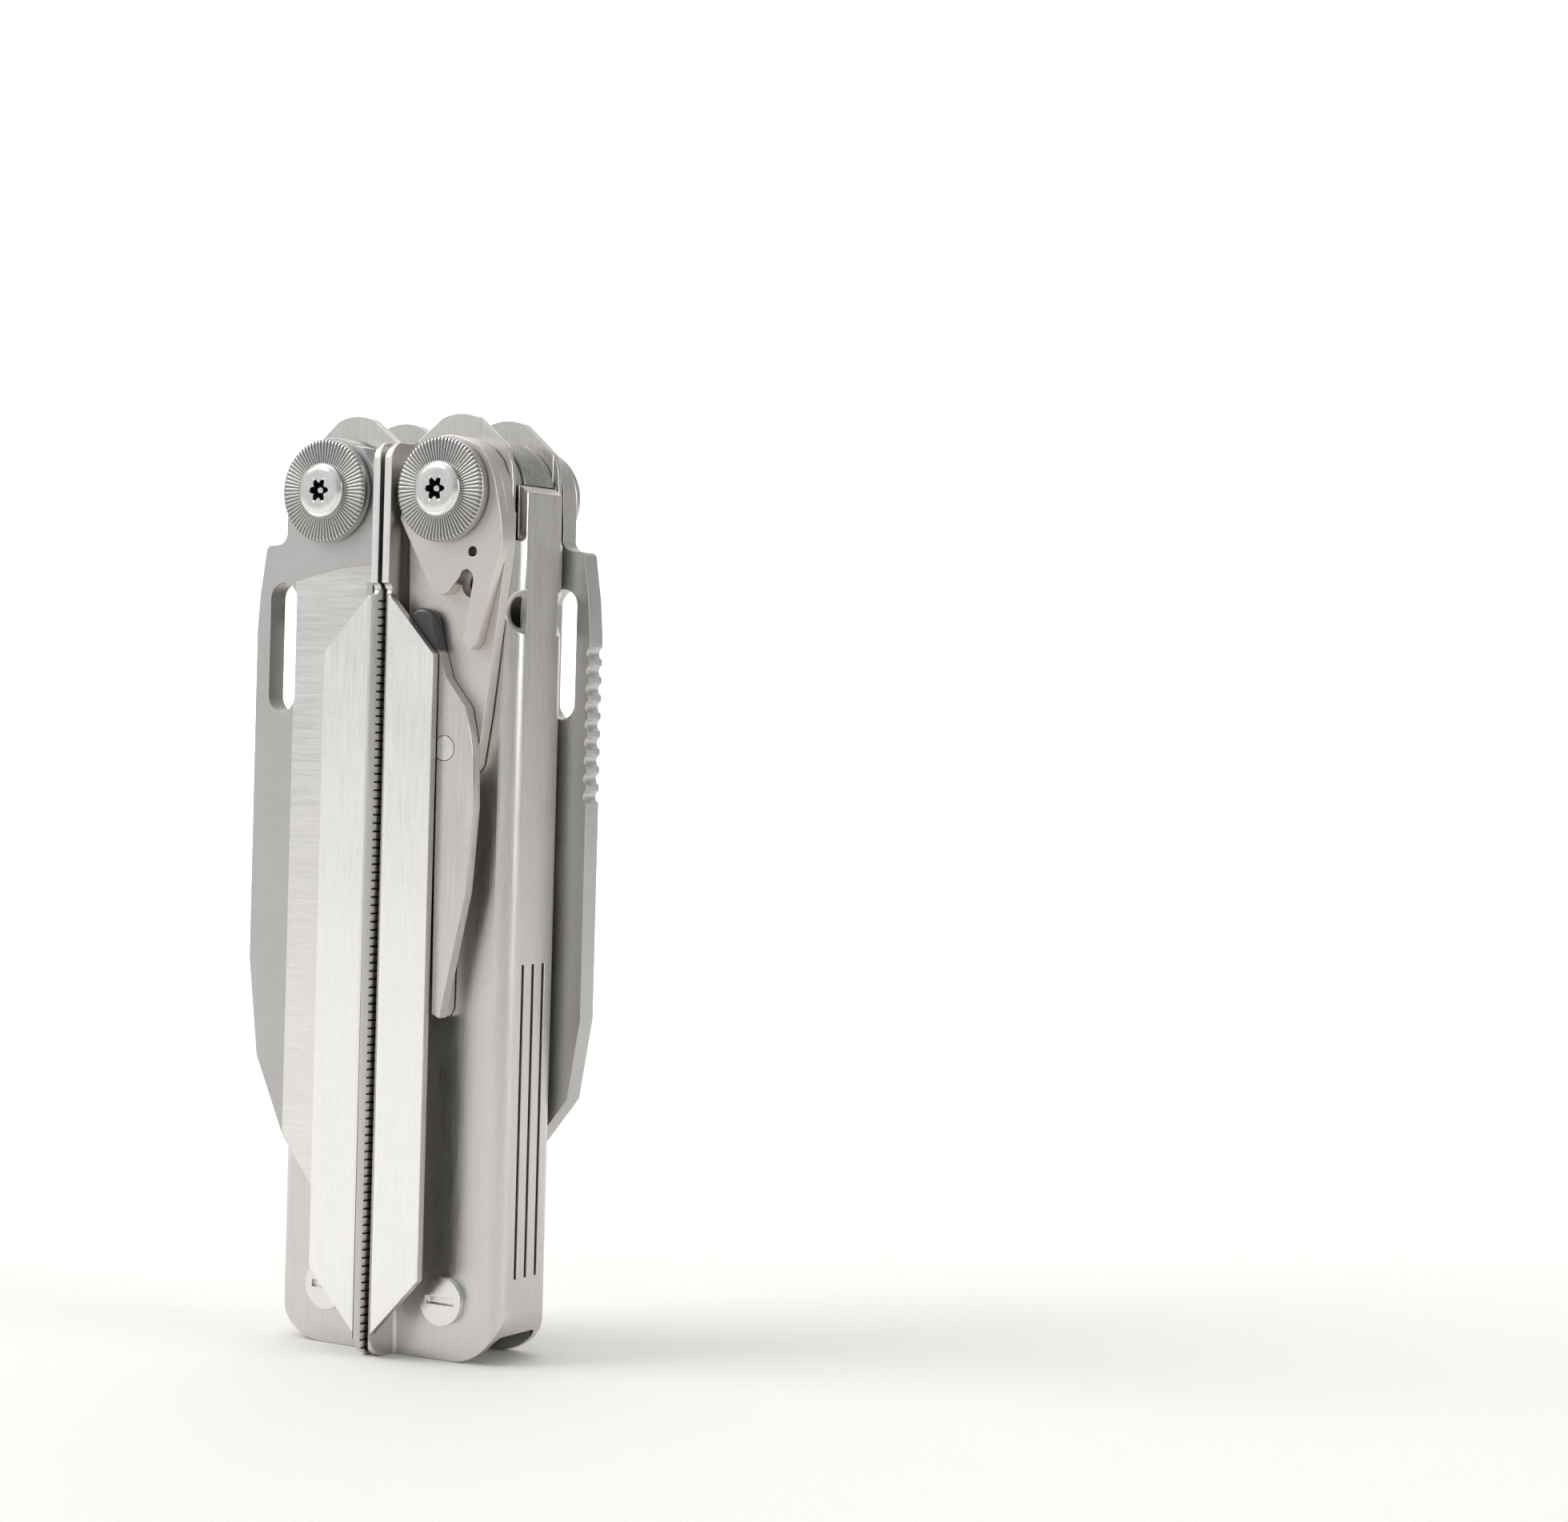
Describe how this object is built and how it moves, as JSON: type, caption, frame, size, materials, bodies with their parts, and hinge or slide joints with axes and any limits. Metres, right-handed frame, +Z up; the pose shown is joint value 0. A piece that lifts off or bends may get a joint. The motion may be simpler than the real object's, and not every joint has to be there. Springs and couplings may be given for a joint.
{
  "type": "folding pliers multi tool",
  "caption": "Folded stainless steel pliers multi tool with outside blades, scissors and saw on the big pivots and inside drivers in the handle channels.",
  "frame": {"origin": "on the floor under the middle of the closed tool, between the two handles and midway front to back", "axes": "+X across the handles towards the handle that carries the scissors, -Y out of the front face with the plain knife, +Z up towards the big pivots"},
  "size_m": [0.0398, 0.023, 0.115],
  "materials": {
    "sheet_steel": "satin stainless, brushed lengthwise",
    "blade_steel": "fine ground stainless",
    "washer_steel": "turned, with fine radial serrations",
    "screw_steel": "polished",
    "dark_steel": "dark, forged and oiled",
    "bronze": "plain bronze sheet"
  },
  "bodies": {
    "left_handle": {"left_handle": "sheet_steel", "left_pivot_sleeve": "sheet_steel", "left_pivot_screws": "screw_steel", "left_pivot_washers": "washer_steel", "left_tang_spacers": "sheet_steel", "left_tool_pin": "sheet_steel", "left_tool_screws": "screw_steel", "left_tool_shims": "bronze", "large_screwdriver": "blade_steel", "can_opener": "blade_steel", "bottle_opener": "blade_steel", "awl": "blade_steel", "knife_washer": "bronze", "saw_washer": "bronze"},
    "right_handle": {"right_handle": "sheet_steel", "right_pivot_sleeve": "sheet_steel", "right_pivot_screws": "screw_steel", "right_pivot_washers": "washer_steel", "right_tang_spacers": "sheet_steel", "right_tool_pin": "sheet_steel", "right_tool_screws": "screw_steel", "right_tool_shims": "bronze", "bit_driver": "blade_steel", "driver_bit": "dark_steel", "medium_screwdriver": "blade_steel", "small_screwdriver": "blade_steel", "wire_stripper": "blade_steel", "serrated_washer": "bronze"},
    "pliers_front": {"pliers_half_front": "sheet_steel", "jaw_pivot_pin": "sheet_steel"},
    "pliers_back": {"pliers_half_back": "sheet_steel"},
    "knife": {"knife_blade": "blade_steel"},
    "serrated": {"serrated_blade": "blade_steel"},
    "scissors": {"scissors_spring_plate": "blade_steel", "scissors_fixed_blade": "blade_steel", "scissors_pin": "sheet_steel"},
    "scissors_moving": {"scissors_moving_blade": "dark_steel"},
    "saw": {"saw_holder": "blade_steel", "saw_clamp": "dark_steel", "saw_blade": "blade_steel"}
  },
  "joints": [
    {"name": "unfold", "type": "hinge", "parent": "left_handle", "child": "pliers_front", "pos_m": [-0.0088, 0, 0.1054], "axis": [0, -1, 0], "range_deg": [0, 180]},
    {"name": "jaw_opening", "type": "hinge", "parent": "pliers_front", "child": "pliers_back", "pos_m": [0, 0, 0.0814], "axis": [0, 1, 0], "range_deg": [0, 39.6]},
    {"name": "right_unfold", "type": "hinge", "parent": "pliers_back", "child": "right_handle", "pos_m": [0.0088, 0, 0.1054], "axis": [0, -1, 0], "range_deg": [0, 180]},
    {"name": "knife_swing", "type": "hinge", "parent": "left_handle", "child": "knife", "pos_m": [-0.0088, 0, 0.1054], "axis": [0, -1, 0], "range_deg": [-160, 0]},
    {"name": "saw_swing", "type": "hinge", "parent": "left_handle", "child": "saw", "pos_m": [-0.0088, 0, 0.1054], "axis": [0, -1, 0], "range_deg": [-160, 0]},
    {"name": "scissors_swing", "type": "hinge", "parent": "right_handle", "child": "scissors", "pos_m": [0.0088, 0, 0.1054], "axis": [0, 1, 0], "range_deg": [-160, 0]},
    {"name": "serrated_swing", "type": "hinge", "parent": "right_handle", "child": "serrated", "pos_m": [0.0088, 0, 0.1054], "axis": [0, 1, 0], "range_deg": [-160, 0]},
    {"name": "scissors_opening", "type": "hinge", "parent": "scissors", "child": "scissors_moving", "pos_m": [0.0093, 0, 0.0744], "axis": [0, 1, 0], "range_deg": [-23.2, 0]}
  ],
  "couplings": [
    {"joint": "jaw_opening", "follows": "unfold", "ratio": 0.22},
    {"joint": "right_unfold", "follows": "unfold", "ratio": 1},
    {"joint": "scissors_opening", "follows": "scissors_swing", "ratio": 0.145}
  ]
}
